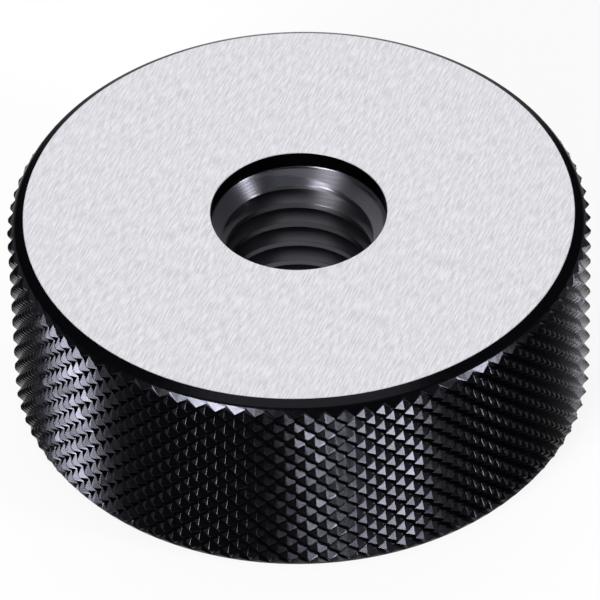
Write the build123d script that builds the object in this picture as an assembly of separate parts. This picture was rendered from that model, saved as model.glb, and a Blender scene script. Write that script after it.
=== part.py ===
from build123d import *
from build123d.topology import SkipClean
import os
from math import cos, radians, sin, tan

# A solid thread ring gauge for an M12 x 1.75 thread, turned from one bar of tool steel, with a diamond
# knurl round the rim. Lengths are in millimetres and angles in degrees. The origin is the middle of the
# lower face, and +Z runs along the axis of the thread.

# Driving dimensions: the turned ring
thickness = 15.1  # lower face to upper face
rim_diameter = 38.9  # at the foot of the chamfer, a little under the root of the knurl
edge_chamfer_width = 0.65  # across the face
edge_chamfer_depth = 0.47  # along the axis
shoulder_slope = 0.56  # growth of the radius from the chamfer to the crests of the knurl, along the axis

# Driving dimensions: the knurl
knurl_count = 92  # diamonds in one row round the rim
knurl_pitch = 1.383  # height of one diamond along the axis
knurl_depth = 0.48  # root to crest
knurl_top_land = 0.61  # upper face to the first row, which the shoulder cuts
knurl_bottom_land = 0.5  # lower face to the last row, or more
knurl_turn = 0.35  # where the first column of diamonds stands

# Driving dimensions: the thread and the mouths of the bore
thread_major_diameter = 12.0
thread_pitch = 1.75
thread_flank_angle = 60.0  # between the two flanks of a groove
thread_turn = 12.0  # where the groove leaves the lower mouth
mouth_clearance = 0.04  # plain counterbore over the major diameter
mouth_depth = 1.24
lead_in_angle = 45.0  # chamfer from the mouth down to the thread

# Sizes that follow
rim_radius = rim_diameter / 2
face_radius = rim_radius - edge_chamfer_width
mouth_radius = (thread_major_diameter + mouth_clearance) / 2
half_flank_slope = tan(radians(thread_flank_angle / 2))
sharp_thread_height = thread_pitch / 2 / half_flank_slope
thread_root_radius = thread_major_diameter / 2 + sharp_thread_height / 8  # ground sharp, to clear the plug
thread_minor_radius = thread_root_radius - sharp_thread_height * 3 / 4


def turned_blank():
    """The ring before its thread and knurl: a pilot hole, two mouths and a chamfer at each edge."""
    pilot_radius = thread_minor_radius - thread_pitch / 4
    pilot_depth = mouth_depth + (mouth_radius - pilot_radius) / tan(radians(lead_in_angle))
    with BuildPart() as blank:
        with BuildSketch(Plane.XZ):
            with BuildLine():
                Polyline(
                    (pilot_radius, pilot_depth),
                    (mouth_radius, mouth_depth),
                    (mouth_radius, 0),
                    (face_radius, 0),
                    (rim_radius, edge_chamfer_depth),
                    (rim_radius, thickness - edge_chamfer_depth),
                    (face_radius, thickness),
                    (mouth_radius, thickness),
                    (mouth_radius, thickness - mouth_depth),
                    (pilot_radius, thickness - pilot_depth),
                    close=True,
                )
            make_face()
        revolve(axis=Axis.Z)
    return blank.part


def bore():
    """The bore over the crests of the thread. Its wall is in quarters, so a crest is short faces."""
    quarters = [CenterArc((0, 0), thread_minor_radius, quarter * 90, 90) for quarter in range(4)]
    return extrude(make_face(quarters), thickness, clean=False)


def thread_grooves():
    """The right-hand V groove in pieces of up to one turn, from the corner of one mouth to the other's."""
    open_radius = thread_minor_radius - thread_pitch / 16  # inside the bore, short of the next turn
    half_open = (thread_root_radius - open_radius) * half_flank_slope
    section = make_face(
        Plane.XZ
        * Polyline((open_radius, -half_open), (thread_root_radius, 0), (open_radius, half_open), close=True)
    )
    first_height = mouth_depth - thread_pitch / 16  # by here the groove has run out at the lead-in
    length = thickness - 2 * first_height
    pieces = int(length / thread_pitch) + 1
    rise = length / pieces
    piece_turn = 360 * rise / thread_pitch
    piece = sweep(section, Helix(thread_pitch, rise, thread_root_radius), is_frenet=True)
    return [
        Pos(Z=first_height + rise * index) * Rot(Z=thread_turn + piece_turn * index) * piece
        for index in range(pieces)
    ]


# The knurl is a lattice of pyramids: crests and root corners take turns round the rim and down it. At
# each end a shoulder, one flat for each column, takes the pyramids of the end row down to the chamfer.
knurl_step = 180 / knurl_count
knurl_half_pitch = knurl_pitch / 2
knurl_slope = knurl_depth / knurl_half_pitch
knurl_rows = int((thickness - knurl_top_land - knurl_bottom_land) / knurl_half_pitch)
knurl_root_radius = rim_radius / cos(radians(knurl_step)) ** 2  # flat facets then clear the round rim
knurl_back_radius = rim_radius - knurl_depth / 4  # buried in the rim
end_lands = {0: knurl_top_land, knurl_rows: thickness - knurl_top_land - knurl_rows * knurl_half_pitch}


def knurl_point(step, radius, depth, end_row=0):
    """A point of the knurl, in steps round the rim and by its depth below the upper or the lower face."""
    turn = radians(knurl_turn + step * knurl_step)
    return Vector(radius * cos(turn), radius * sin(turn), depth if end_row else thickness - depth)


def knurl_corner(step, row):
    """A crest or a root corner of the knurl, or what the shoulder leaves of it in an end row."""
    crest = (step + row) % 2
    radius = knurl_root_radius + crest * knurl_depth
    if row not in end_lands:
        return knurl_point(step, radius, knurl_top_land + row * knurl_half_pitch)
    flat = cos(radians(knurl_step)) if crest else 1  # a crest stands over the middle of a shoulder flat
    land = end_lands[row] - edge_chamfer_depth
    rise = (radius - flat * knurl_root_radius + knurl_slope * land) / (knurl_slope + flat * shoulder_slope)
    return knurl_point(
        step, flat * (knurl_root_radius + shoulder_slope * rise), edge_chamfer_depth + rise, row
    )


def knurl_facets():
    """The four facets of each whole pyramid."""
    facets = []
    for row in range(1, knurl_rows):
        for step in range(1 - row % 2, 2 * knurl_count, 2):
            for side in (step - 1, step + 1):
                for end in (row - 1, row + 1):
                    corners = [knurl_corner(step, row), knurl_corner(side, row), knurl_corner(step, end)]
                    facets.append(Face(Wire.make_polygon(corners)))
    return facets


def end_facets(row, next_row):
    """At one end, the shoulder flats and the two facets below each, and the flat end of the sleeve."""
    facets = []
    steps = range(row % 2, 2 * knurl_count, 2)
    for step in steps:
        left = knurl_corner(step, row)
        right = knurl_corner(step + 2, row)
        cut_crest = knurl_corner(step + 1, row)
        root = knurl_corner(step + 1, next_row)
        foot = [knurl_point(side, knurl_root_radius, edge_chamfer_depth, row) for side in (step + 2, step)]
        facets.append(Face(Wire.make_polygon([left, cut_crest, right, *foot])))
        facets += [Face(Wire.make_polygon([tip, cut_crest, root])) for tip in (left, right)]
    outside = [knurl_point(step, knurl_root_radius, edge_chamfer_depth, row) for step in steps]
    inside = [knurl_point(step, knurl_back_radius, edge_chamfer_depth, row) for step in steps]
    return facets + [Face(Wire.make_polygon(outside), [Wire.make_polygon(inside)])]


def knurl_sleeve():
    """The knurl as a closed sleeve, whose plain back lies inside the rim."""
    facets = knurl_facets() + end_facets(0, 1) + end_facets(knurl_rows, knurl_rows - 1)
    for step in range(0, 2 * knurl_count, 2):
        sides = (step, step + 2)
        top = [knurl_point(side, knurl_back_radius, edge_chamfer_depth) for side in sides]
        bottom = [knurl_point(side, knurl_back_radius, thickness - edge_chamfer_depth) for side in sides]
        facets.append(Face(Wire.make_polygon(top + bottom[::-1])))
    return Solid(Shell(facets))


def gauge_ring():
    """The whole gauge as one solid, with every cut face left as it was cut."""
    with SkipClean():
        bored = turned_blank().cut(bore())
        threaded = bored.cut(*thread_grooves())
        return threaded.fuse(knurl_sleeve())


os.makedirs("parts", exist_ok=True)
export_step(gauge_ring(), "parts/gauge_ring.step")
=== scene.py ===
import math
import random
import bpy
from mathutils import Matrix, Vector


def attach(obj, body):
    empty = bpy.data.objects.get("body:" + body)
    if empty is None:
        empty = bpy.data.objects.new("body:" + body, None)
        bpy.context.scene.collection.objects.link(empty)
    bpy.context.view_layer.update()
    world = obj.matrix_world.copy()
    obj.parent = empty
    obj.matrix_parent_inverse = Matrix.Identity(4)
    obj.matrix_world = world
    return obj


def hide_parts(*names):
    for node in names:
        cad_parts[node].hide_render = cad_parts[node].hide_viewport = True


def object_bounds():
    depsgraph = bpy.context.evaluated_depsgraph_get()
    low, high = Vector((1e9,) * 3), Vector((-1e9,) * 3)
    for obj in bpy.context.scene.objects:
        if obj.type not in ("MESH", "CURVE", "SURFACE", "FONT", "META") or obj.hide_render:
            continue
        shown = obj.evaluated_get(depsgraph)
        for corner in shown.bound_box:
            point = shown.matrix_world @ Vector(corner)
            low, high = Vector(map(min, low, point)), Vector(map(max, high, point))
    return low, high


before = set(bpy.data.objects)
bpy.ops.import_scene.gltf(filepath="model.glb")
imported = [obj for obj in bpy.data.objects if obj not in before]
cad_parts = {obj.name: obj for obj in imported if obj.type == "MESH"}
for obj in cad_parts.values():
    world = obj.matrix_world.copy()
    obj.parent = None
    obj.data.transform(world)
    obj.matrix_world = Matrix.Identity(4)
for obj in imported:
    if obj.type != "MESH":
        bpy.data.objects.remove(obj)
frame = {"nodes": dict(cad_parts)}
cadLow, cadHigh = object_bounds()
mm = 0.001
random.seed(12)
print("frame loaded:", ", ".join(frame["nodes"]))

# The turned ring: sizes of its plain surfaces
ring = {
    "thickness": cadHigh.z,
    "faceRadius": 18.8 * mm,
    "chamferDepth": 0.47 * mm,
    # radius and depth of the points where the shoulder rounds off into the chamfer
    "corner": [(19.44 * mm, 0.455 * mm), (19.4 * mm, 0.412 * mm), (19.33 * mm, 0.345 * mm)],
    "edgeBreak": 0.035 * mm,  # narrow bright line round each ground face
    "mouthRadius": 6.02 * mm,
    "mouthDepth": 1.24 * mm,
    "mouthFillet": 0.035 * mm,  # where the mouth's wall turns into the lead-in
}

# The diamonds round the rim, counted down from the upper face
knurl = {
    "count": 92,
    "pitch": 1.383 * mm,
    "topLand": 0.66 * mm,
    "turn": 0.35,  # degrees, where the first column stands
    "rootRadius": 19.465 * mm,
    "depth": 0.48 * mm,
    "shoulderSlope": 0.56,  # the turned shoulder that takes the end rows down to the chamfer
    "rows": 20,
    "notchLift": 0.2,  # the grooves down to the left are shallower, by this share of the depth
    "crestFlat": 0.09,  # share of a diamond that is worn flat at its crest
    "crestFlatSpread": 0.3,  # share by which that varies from one diamond to the next
    "crestDome": 0.45,  # how far the worn crest still rises, as a share of what was lost
    "ridgeFlat": 0.03,  # half the width of the worn ridges, as a share of a diamond
    "crestWander": 0.025,  # how far a crest strays from its place, as a share of a diamond
    "cornerWander": 0.006 * mm,
}
columns = 2 * knurl["count"]
columnStep = 360 / columns
finishNames = ["groundFace", "blackOxide", "turnedLeadIn", "groundThread"]
points = []
faces = []
faceFinish = []


def addPoint(radius, turn, height):
    angle = math.radians(turn)
    points.append((radius * math.cos(angle), radius * math.sin(angle), height))
    return len(points) - 1


def addFace(corners, finish):
    faces.append(corners)
    faceFinish.append(finishNames.index(finish))


def columnTurn(column):
    return knurl["turn"] + columnStep * column


def addRing(radius, height):
    return [addPoint(radius, columnTurn(column), height) for column in range(columns)]


def joinRings(upper, lower, finish):
    for column in range(columns):
        beside = (column + 1) % columns
        addFace((upper[column], lower[column], lower[beside], upper[beside]), finish)


def knurlPoint(step, row, lift):
    # lift is the height over the pits, as a share of the knurl's depth
    radius = knurl["rootRadius"] + lift * knurl["depth"]
    height = ring["thickness"] - knurl["topLand"] - row * knurl["pitch"] / 2
    return addPoint(radius, columnTurn(step), height)


def shoulderCorner(step, row):
    # the tip of a pit in an end row, or what the shoulder leaves of a crest there
    isCrest = (step + row) % 2
    slope = knurl["depth"] / (knurl["pitch"] / 2)
    bottomLand = ring["thickness"] - knurl["topLand"] - row * knurl["pitch"] / 2
    endLand = knurl["topLand"] if row == 0 else bottomLand
    land = endLand - ring["chamferDepth"]
    rise = (isCrest * knurl["depth"] + slope * land) / (slope + knurl["shoulderSlope"])
    depth = ring["chamferDepth"] + rise
    height = ring["thickness"] - depth if row == 0 else depth
    return addPoint(knurl["rootRadius"] + knurl["shoulderSlope"] * rise, columnTurn(step), height)


def rootCorners():
    # the pits between the diamonds, and all the corners of the two end rows
    corners = {}
    for row in range(knurl["rows"] + 1):
        for step in range(columns):
            if row in (0, knurl["rows"]):
                corners[step, row] = shoulderCorner(step, row)
            elif (step + row) % 2 == 0:
                wander = random.uniform(-1, 1) * knurl["cornerWander"]
                corners[step, row] = knurlPoint(step, row, wander / knurl["depth"])
    return corners


def cellPoint(step, row, across, along, lift):
    # across runs over the deep grooves and along over the shallow ones, each from -1 to 1 within a diamond
    return knurlPoint(step + (across + along) / 2, row + (along - across) / 2, lift)


def notchPoints():
    # where the ridges meet the shallow groove on the lower right of each diamond, near both its ends
    lift = knurl["notchLift"]
    notches = {}
    for row in range(knurl["rows"]):
        for step in range(1 - row % 2, columns, 2):
            shift = random.uniform(-1, 1) * knurl["crestWander"]
            places = [side * (1 - lift) + shift for side in (1, -1)]
            notches[step, row] = [cellPoint(step, row, place, 1, lift) for place in places]
    return notches


def addDiamond(step, row, corners, notches):
    # a roof whose ridge runs down to the right, worn at the ridge and along its four slanting edges
    wander = knurl["crestWander"]
    spread = knurl["crestFlatSpread"]
    across0 = random.uniform(-wander, wander)
    along0 = random.uniform(-wander, wander)
    worn = knurl["crestFlat"] * random.uniform(1 - spread, 1 + spread)
    flat = knurl["ridgeFlat"]
    reach = worn + knurl["notchLift"]
    edge = []
    for side, end in ((1, -1), (1, 1), (-1, 1), (-1, -1)):
        across = across0 + side * worn
        along = along0 + end * (reach - flat)
        onDeepSide = cellPoint(step, row, across, along, 1 - worn)
        across = across0 + side * (worn - flat)
        along = along0 + end * reach
        onNotchSide = cellPoint(step, row, across, along, 1 - worn)
        edge += [onNotchSide, onDeepSide] if side * end < 0 else [onDeepSide, onNotchSide]
    crest = cellPoint(step, row, across0, along0, 1 - worn * (1 - knurl["crestDome"]))
    top = corners[step, row - 1]
    right = corners[(step + 1) % columns, row]
    bottom = corners[step, row + 1]
    left = corners[(step - 1) % columns, row]
    lowerRight = notches[step, row]
    upperLeft = notches[(step - 1) % columns, row - 1]
    wornTop = [(crest, edge[(place + 1) % 8], edge[place]) for place in range(8)]
    slopes = [
        (upperLeft[0], edge[0], edge[1]),
        (edge[1], edge[2], lowerRight[0], right, top, upperLeft[0]),
        (edge[2], edge[3], lowerRight[0]),
        (edge[3], edge[4], lowerRight[1], lowerRight[0]),
        (edge[4], edge[5], lowerRight[1]),
        (edge[5], edge[6], upperLeft[1], left, bottom, lowerRight[1]),
        (edge[6], edge[7], upperLeft[1]),
        (edge[7], edge[0], upperLeft[0], upperLeft[1]),
    ]
    for facet in wornTop + slopes:
        addFace(facet, "blackOxide")


def addFan(middle, edge):
    for first, second in zip(edge, edge[1:]):
        addFace((middle, second, first), "blackOxide")


def addKnurl():
    corners = rootCorners()
    notches = notchPoints()
    lastRow = knurl["rows"]
    for row in range(1, lastRow):
        for step in range(1 - row % 2, columns, 2):
            addDiamond(step, row, corners, notches)
    for step in range(1, columns, 2):
        # what the two shoulders leave of the end rows
        before = step - 1
        after = (step + 1) % columns
        below = [corners[after, 0], *notches[step, 0], corners[step, 1], corners[before, 0]]
        addFan(corners[step, 0], below)
        right, left = notches[before, lastRow - 1]
        above = [corners[before, lastRow], left, right, corners[step, lastRow - 1], corners[after, lastRow]]
        addFan(corners[step, lastRow], above)
    return [[corners[step, row] for step in range(columns)] for row in (0, lastRow)]


# The right-hand thread between the two lead-ins
thread = {
    "pitch": 1.75 * mm,
    "majorRadius": 6.0 * mm,
    "turn": 12.0,  # where the groove leaves the lower mouth
    "flankAngle": 60,  # between the two flanks of a groove
    "rootFlat": 0.03 * mm,
    "cornerFlat": 0.022 * mm,
    "flankLines": 8,
    "crestLines": 4,
}
flankSlope = math.tan(math.radians(thread["flankAngle"] / 2))
crestStart = thread["pitch"] * 3 / 8  # from the middle of a groove to the crest beside it
boreLow = ring["mouthDepth"] + ring["mouthFillet"]
boreHigh = ring["thickness"] - boreLow


def threadProfile(offset):
    # radius of the groove, by the distance along the axis from the middle of the nearest turn
    pitch = thread["pitch"]
    away = abs((offset + pitch / 2) % pitch - pitch / 2)
    sharpRoot = thread["majorRadius"] + pitch / 16 / flankSlope
    minorRadius = sharpRoot - crestStart / flankSlope
    corner = thread["cornerFlat"]
    if away < thread["rootFlat"]:
        return sharpRoot - thread["rootFlat"] / flankSlope
    if away < crestStart - corner:
        return sharpRoot - away / flankSlope
    if away < crestStart + corner:
        cornerRadius = sharpRoot - (crestStart - corner) / flankSlope
        share = (away - crestStart + corner) / (2 * corner)
        return cornerRadius + share * (minorRadius - cornerRadius)
    return minorRadius


def threadLines():
    # offsets within one pitch at which the mesh follows the helix
    pitch = thread["pitch"]
    corner = thread["cornerFlat"]
    root = thread["rootFlat"]
    stops = [-root, root, crestStart - corner, crestStart + corner]
    stops += [pitch - crestStart - corner, pitch - crestStart + corner, pitch - root]
    parts = [1, thread["flankLines"], 1, thread["crestLines"], 1, thread["flankLines"]]
    lines = []
    for start, end, count in zip(stops, stops[1:], parts):
        lines += [start + (end - start) * part / count for part in range(count)]
    return lines


def boreGrid(lines):
    # radius and height of each line of the mesh at each column, and whether it is on a lead-in there
    mouth = ring["mouthRadius"] - ring["mouthFillet"]
    pitch = thread["pitch"]
    firstHeight = ring["mouthDepth"] - pitch / 16
    turns = math.ceil(ring["thickness"] / pitch) + 1
    grid = []
    for offset in [turn * pitch + line for turn in range(-1, turns) for line in lines]:
        gridRow = []
        for column in range(columns + 1):
            middle = firstHeight + pitch * (columnTurn(column) - thread["turn"]) / 360
            height = min(max(middle + offset, boreLow), boreHigh)
            leadIn = mouth - min(height - boreLow, boreHigh - height)
            radius = max(threadProfile(height - middle), leadIn)
            if height in (boreLow, boreHigh):
                radius = mouth
            gridRow.append((radius, height, leadIn >= radius))
        grid.append(gridRow)
    return grid


def addBore():
    # one more turn round moves every line up by a pitch, so the last column meets the first there
    lines = threadLines()
    grid = boreGrid(lines)
    pointAt = {}
    ends = {boreLow: [None] * columns, boreHigh: [None] * columns}
    for line, gridRow in enumerate(grid):
        for column in range(columns):
            radius, height = gridRow[column][:2]
            if height not in ends:
                pointAt[line, column] = addPoint(radius, columnTurn(column), height)
                continue
            if ends[height][column] is None:
                ends[height][column] = addPoint(radius, columnTurn(column), height)
            pointAt[line, column] = ends[height][column]
    for line in range(len(grid) - len(lines)):
        pointAt[line, columns] = pointAt[line + len(lines), 0]
    for line in range(len(grid) - 1):
        for column in range(columns):
            if (line + 1, column + 1) not in pointAt:
                continue
            around = ((line, column), (line + 1, column), (line + 1, column + 1), (line, column + 1))
            corners = [pointAt[place] for place in around]
            kept = [corner for place, corner in enumerate(corners) if corner != corners[place - 1]]
            if len(set(kept)) < 3:
                continue
            onLeadIn = grid[line][column][2] and grid[line + 1][column][2]
            addFace(tuple(kept), "turnedLeadIn" if onLeadIn else "groundThread")
    return ends[boreHigh], ends[boreLow]


def addEnd(outerEdge, innerEdge, outward):
    # one end of the ring, from the knurl over the chamfer and the face into the bore: outward is 1 on top
    height = ring["thickness"] if outward == 1 else 0
    wallDepth = ring["mouthDepth"] - ring["mouthFillet"]
    rings = [
        *[(radius, depth, "blackOxide") for radius, depth in ring["corner"]],
        (ring["faceRadius"], ring["edgeBreak"] / 2, "blackOxide"),
        (ring["faceRadius"] - ring["edgeBreak"], 0, "groundFace"),
        (ring["mouthRadius"] + ring["edgeBreak"], 0, "groundFace"),
        (ring["mouthRadius"], ring["edgeBreak"], "groundFace"),
        (ring["mouthRadius"], wallDepth, "blackOxide"),
    ]
    edges = [(addRing(radius, height - outward * depth), finish) for radius, depth, finish in rings]
    before = outerEdge
    for after, finish in [*edges, (innerEdge, "turnedLeadIn")]:
        if outward == 1:
            joinRings(after, before, finish)
        else:
            joinRings(before, after, finish)
        before = after


def buildRing():
    topEdge, bottomEdge = addKnurl()
    upperMouth, lowerMouth = addBore()
    addEnd(topEdge, upperMouth, 1)
    addEnd(bottomEdge, lowerMouth, -1)
    mesh = bpy.data.meshes.new("threadRingGauge")
    mesh.from_pydata(points, [], faces)
    for polygon, finish in zip(mesh.polygons, faceFinish):
        polygon.material_index = finish
    mesh.validate()
    mesh.update()
    gauge = bpy.data.objects.new("threadRingGauge", mesh)
    bpy.context.scene.collection.objects.link(gauge)
    return gauge


gauge = buildRing()
print("ring built:", len(gauge.data.polygons), "faces")


def newMaterial(name):
    material = bpy.data.materials.new(name)
    material.use_nodes = True
    nodes = material.node_tree.nodes
    return material, nodes, material.node_tree.links, nodes["Principled BSDF"]


def addBump(nodes, links, shader, pattern, strength, depth):
    bump = nodes.new("ShaderNodeBump")
    bump.inputs["Strength"].default_value = strength
    bump.inputs["Distance"].default_value = depth
    links.new(pattern, bump.inputs["Height"])
    links.new(bump.outputs["Normal"], shader.inputs["Normal"])


def varyRoughness(nodes, links, shader, pattern, start, end):
    polish = nodes.new("ShaderNodeMapRange")
    polish.inputs["To Min"].default_value = start
    polish.inputs["To Max"].default_value = end
    links.new(pattern, polish.inputs["Value"])
    links.new(polish.outputs["Result"], shader.inputs["Roughness"])


# Straight grinding lines across both faces
groundLook = {
    "colour": (0.68, 0.67, 0.7, 1),
    "darkColour": (0.52, 0.51, 0.54, 1),
    "grainTurn": 69,
    "grainFine": 9000,  # lines to the metre across the grain, and along it
    "grainLong": 850,
    "grainDetail": 4,
    "grainSharpness": 0.7,
    "grainSpread": 0.1,  # a smaller one gives stronger contrast
    "roughness": 0.38,
    "roughnessSpread": 0.1,
    "metallic": 0.9,
    "scratchStrength": 0.15,
    "scratchDepth": 0.02 * mm,
}


def groundFaceMaterial():
    material, nodes, links, shader = newMaterial("groundFace")
    place = nodes.new("ShaderNodeTexCoord")
    turned = nodes.new("ShaderNodeMapping")
    turned.vector_type = "TEXTURE"
    turned.inputs["Rotation"].default_value[2] = math.radians(groundLook["grainTurn"])
    links.new(place.outputs["Object"], turned.inputs["Vector"])
    stretched = nodes.new("ShaderNodeMapping")
    stretched.inputs["Scale"].default_value = (groundLook["grainLong"], groundLook["grainFine"], 1)
    links.new(turned.outputs["Vector"], stretched.inputs["Vector"])
    grain = nodes.new("ShaderNodeTexNoise")
    grain.inputs["Scale"].default_value = 1
    grain.inputs["Detail"].default_value = groundLook["grainDetail"]
    grain.inputs["Roughness"].default_value = groundLook["grainSharpness"]
    links.new(stretched.outputs["Vector"], grain.inputs["Vector"])
    contrast = nodes.new("ShaderNodeMapRange")
    contrast.inputs["From Min"].default_value = 0.5 - groundLook["grainSpread"]
    contrast.inputs["From Max"].default_value = 0.5 + groundLook["grainSpread"]
    links.new(grain.outputs["Fac"], contrast.inputs["Value"])
    tone = nodes.new("ShaderNodeMix")
    tone.data_type = "RGBA"
    tone.inputs["A"].default_value = groundLook["darkColour"]
    tone.inputs["B"].default_value = groundLook["colour"]
    links.new(contrast.outputs["Result"], tone.inputs["Factor"])
    links.new(tone.outputs["Result"], shader.inputs["Base Color"])
    roughest = groundLook["roughness"] + groundLook["roughnessSpread"]
    smoothest = groundLook["roughness"] - groundLook["roughnessSpread"]
    varyRoughness(nodes, links, shader, grain.outputs["Fac"], roughest, smoothest)
    strength = groundLook["scratchStrength"]
    addBump(nodes, links, shader, grain.outputs["Fac"], strength, groundLook["scratchDepth"])
    shader.inputs["Metallic"].default_value = groundLook["metallic"]
    return material


# Black oxide on the knurl, the chamfers and the walls of the mouths
oxideLook = {
    "colour": (0.017, 0.0172, 0.021, 1),
    "edgeTint": (0.5, 0.5, 0.5, 1),
    "roughness": 0.2,
    "roughnessSpread": 0.06,
    "metallic": 1,
    "mottleScale": 3000,
    "mottleDetail": 3,
    "pitStrength": 0.2,
    "pitDepth": 0.01 * mm,
}


def blackOxideMaterial():
    material, nodes, links, shader = newMaterial("blackOxide")
    place = nodes.new("ShaderNodeTexCoord")
    mottle = nodes.new("ShaderNodeTexNoise")
    mottle.inputs["Scale"].default_value = oxideLook["mottleScale"]
    mottle.inputs["Detail"].default_value = oxideLook["mottleDetail"]
    links.new(place.outputs["Object"], mottle.inputs["Vector"])
    smoothest = oxideLook["roughness"] - oxideLook["roughnessSpread"]
    roughest = oxideLook["roughness"] + oxideLook["roughnessSpread"]
    varyRoughness(nodes, links, shader, mottle.outputs["Fac"], smoothest, roughest)
    strength = oxideLook["pitStrength"]
    addBump(nodes, links, shader, mottle.outputs["Fac"], strength, oxideLook["pitDepth"])
    shader.inputs["Base Color"].default_value = oxideLook["colour"]
    shader.inputs["Specular Tint"].default_value = oxideLook["edgeTint"]
    shader.inputs["Metallic"].default_value = oxideLook["metallic"]
    return material


# Turned lead-ins and the ground thread
boreLook = {
    "leadInColour": (0.125, 0.124, 0.15, 1),
    "threadColour": (0.16, 0.158, 0.18, 1),
    "leadInRoughness": 0.38,
    "threadRoughness": 0.4,
    "metallic": 1,
    "stretch": 0.88,  # how strongly the turning marks stretch a highlight along the axis
    "stretchTurn": 0.25,  # share of a turn from the marks to that stretch
    "markScale": 1900,
    "markWaver": 2.5,
    "markDetail": 2,
    "markStrength": 0.3,
    "markDepth": 0.01 * mm,
}


def turnedMaterial(name, colour, roughness):
    material, nodes, links, shader = newMaterial(name)
    place = nodes.new("ShaderNodeTexCoord")
    marks = nodes.new("ShaderNodeTexWave")
    marks.wave_type = "BANDS"
    marks.bands_direction = "Z"
    marks.inputs["Scale"].default_value = boreLook["markScale"]
    marks.inputs["Distortion"].default_value = boreLook["markWaver"]
    marks.inputs["Detail"].default_value = boreLook["markDetail"]
    links.new(place.outputs["Object"], marks.inputs["Vector"])
    strength = boreLook["markStrength"]
    addBump(nodes, links, shader, marks.outputs["Fac"], strength, boreLook["markDepth"])
    around = nodes.new("ShaderNodeTangent")
    around.direction_type = "RADIAL"
    around.axis = "Z"
    links.new(around.outputs["Tangent"], shader.inputs["Tangent"])
    shader.inputs["Anisotropic"].default_value = boreLook["stretch"]
    shader.inputs["Anisotropic Rotation"].default_value = boreLook["stretchTurn"]
    shader.inputs["Base Color"].default_value = colour
    shader.inputs["Roughness"].default_value = roughness
    shader.inputs["Metallic"].default_value = boreLook["metallic"]
    return material


# in the order of finishNames
finishes = [
    groundFaceMaterial(),
    blackOxideMaterial(),
    turnedMaterial("turnedLeadIn", boreLook["leadInColour"], boreLook["leadInRoughness"]),
    turnedMaterial("groundThread", boreLook["threadColour"], boreLook["threadRoughness"]),
]
for finish in finishes:
    gauge.data.materials.append(finish)
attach(gauge, "root")
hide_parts("gauge_ring")
print("finishes given")

# The floor is white paper that keeps the gauge's shadow
floorLook = {
    "size": 3.0,
    "gap": 0.02 * mm,  # below the gauge
    "colour": (0.9, 0.9, 0.9, 1),
    "roughness": 0.8,
    "glow": 0.87,  # share of plain white that the camera, metal and glass see
}


def largerOf(nodes, links, first, second):
    larger = nodes.new("ShaderNodeMath")
    larger.operation = "MAXIMUM"
    links.new(first, larger.inputs[0])
    links.new(second, larger.inputs[1])
    return larger.outputs["Value"]


def makeFloor():
    half = floorLook["size"] / 2
    height = -floorLook["gap"]
    corners = [(-half, -half, height), (half, -half, height), (half, half, height), (-half, half, height)]
    mesh = bpy.data.meshes.new("floor")
    mesh.from_pydata(corners, [], [(0, 1, 2, 3)])
    floor = bpy.data.objects.new("floor", mesh)
    bpy.context.scene.collection.objects.link(floor)
    material, nodes, links, shader = newMaterial("whitePaper")
    shader.inputs["Base Color"].default_value = floorLook["colour"]
    shader.inputs["Roughness"].default_value = floorLook["roughness"]
    glow = nodes.new("ShaderNodeEmission")
    glow.inputs["Strength"].default_value = 1
    rays = nodes.new("ShaderNodeLightPath").outputs
    mirrored = largerOf(nodes, links, rays["Is Glossy Ray"], rays["Is Transmission Ray"])
    seen = largerOf(nodes, links, rays["Is Camera Ray"], mirrored)
    share = nodes.new("ShaderNodeMath")
    share.operation = "MULTIPLY"
    share.inputs[1].default_value = floorLook["glow"]
    links.new(seen, share.inputs[0])
    mixed = nodes.new("ShaderNodeMixShader")
    links.new(share.outputs["Value"], mixed.inputs["Fac"])
    links.new(shader.outputs["BSDF"], mixed.inputs[1])
    links.new(glow.outputs["Emission"], mixed.inputs[2])
    links.new(mixed.outputs["Shader"], nodes["Material Output"].inputs["Surface"])
    mesh.materials.append(material)


makeFloor()
print("floor laid")

# Each soft box stands round the gauge: turn is 0 towards the camera and grows to its right
lamps = {
    "frontLeftBox": {"turn": -33, "rise": 19, "away": 1.2, "width": 0.48, "height": 0.2, "power": 20},
    "rightBox": {"turn": 66, "rise": 14, "away": 1.2, "width": 0.2, "height": 0.12, "power": 9.5},
    "topBox": {"turn": 0, "rise": 74, "away": 1.4, "width": 1.2, "height": 1.0, "power": 3.2},
    "backBox": {"turn": 180, "rise": 45, "away": 1.5, "width": 2.2, "height": 1.6, "power": 13.7},
}
worldLook = {"colour": (0.9, 0.92, 1.0, 1), "strength": 0.12}


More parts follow.
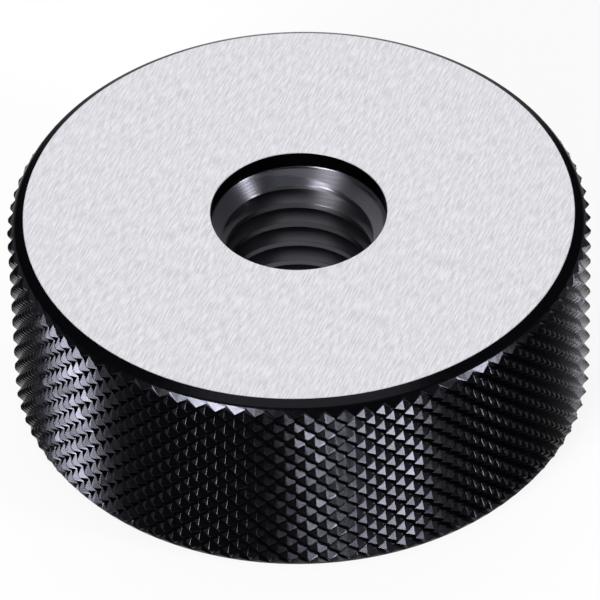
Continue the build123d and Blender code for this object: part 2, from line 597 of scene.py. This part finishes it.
def makeLamps():
    target = Vector((0, 0, ring["thickness"] / 2))
    for name, box in lamps.items():
        turn = math.radians(box["turn"])
        rise = math.radians(box["rise"])
        toward = Vector((math.sin(turn) * math.cos(rise), -math.cos(turn) * math.cos(rise), math.sin(rise)))
        data = bpy.data.lights.new(name, "AREA")
        data.shape = "RECTANGLE"
        data.size = box["width"]
        data.size_y = box["height"]
        data.energy = box["power"]
        lamp = bpy.data.objects.new(name, data)
        bpy.context.scene.collection.objects.link(lamp)
        lamp.location = target + toward * box["away"]
        lamp.rotation_mode = "QUATERNION"
        lamp.rotation_quaternion = toward.to_track_quat("Z", "Y")


def makeWorld():
    world = bpy.data.worlds.new("studio")
    world.use_nodes = True
    background = world.node_tree.nodes["Background"]
    background.inputs["Color"].default_value = worldLook["colour"]
    background.inputs["Strength"].default_value = worldLook["strength"]
    bpy.context.scene.world = world


makeLamps()
makeWorld()
print("lamps set")

# The view: a long lens from in front and above, with the upper face's middle at its own place in the picture
camera = {
    "distance": 504.6 * mm,
    "rise": 41.43,
    "roll": -1.353,
    "focalPixels": 7408.3,
    "faceMiddle": (298.7, 210.73),  # pixels from the upper left
    "pictureSize": 600,
    "sensor": 36,
    "nearest": 0.01,
    "farthest": 10,
}


def makeCamera():
    rise = math.radians(camera["rise"])
    roll = math.radians(camera["roll"])
    outward = Vector((0, -math.cos(rise), math.sin(rise)))
    place = Vector((0, 0, ring["thickness"])) + outward * camera["distance"]
    levelRight = Vector((1, 0, 0))
    levelUp = outward.cross(levelRight)
    right = math.cos(roll) * levelRight + math.sin(roll) * levelUp
    up = math.cos(roll) * levelUp - math.sin(roll) * levelRight
    middle = camera["pictureSize"] / 2
    acrossPicture = (middle - camera["faceMiddle"][0]) / camera["focalPixels"]
    upPicture = (camera["faceMiddle"][1] - middle) / camera["focalPixels"]
    forward = (-outward + right * acrossPicture + up * upPicture).normalized()
    right = (right - forward * right.dot(forward)).normalized()
    up = right.cross(forward)
    data = bpy.data.cameras.new("camera")
    data.sensor_width = camera["sensor"]
    data.lens = camera["focalPixels"] / camera["pictureSize"] * camera["sensor"]
    data.clip_start = camera["nearest"]
    data.clip_end = camera["farthest"]
    viewer = bpy.data.objects.new("camera", data)
    bpy.context.scene.collection.objects.link(viewer)
    viewer.matrix_world = Matrix((
        (right.x, up.x, -forward.x, place.x),
        (right.y, up.y, -forward.y, place.y),
        (right.z, up.z, -forward.z, place.z),
        (0, 0, 0, 1),
    ))
    bpy.context.scene.camera = viewer


makeCamera()
bpy.context.scene.view_settings.view_transform = "Standard"
print("camera placed")
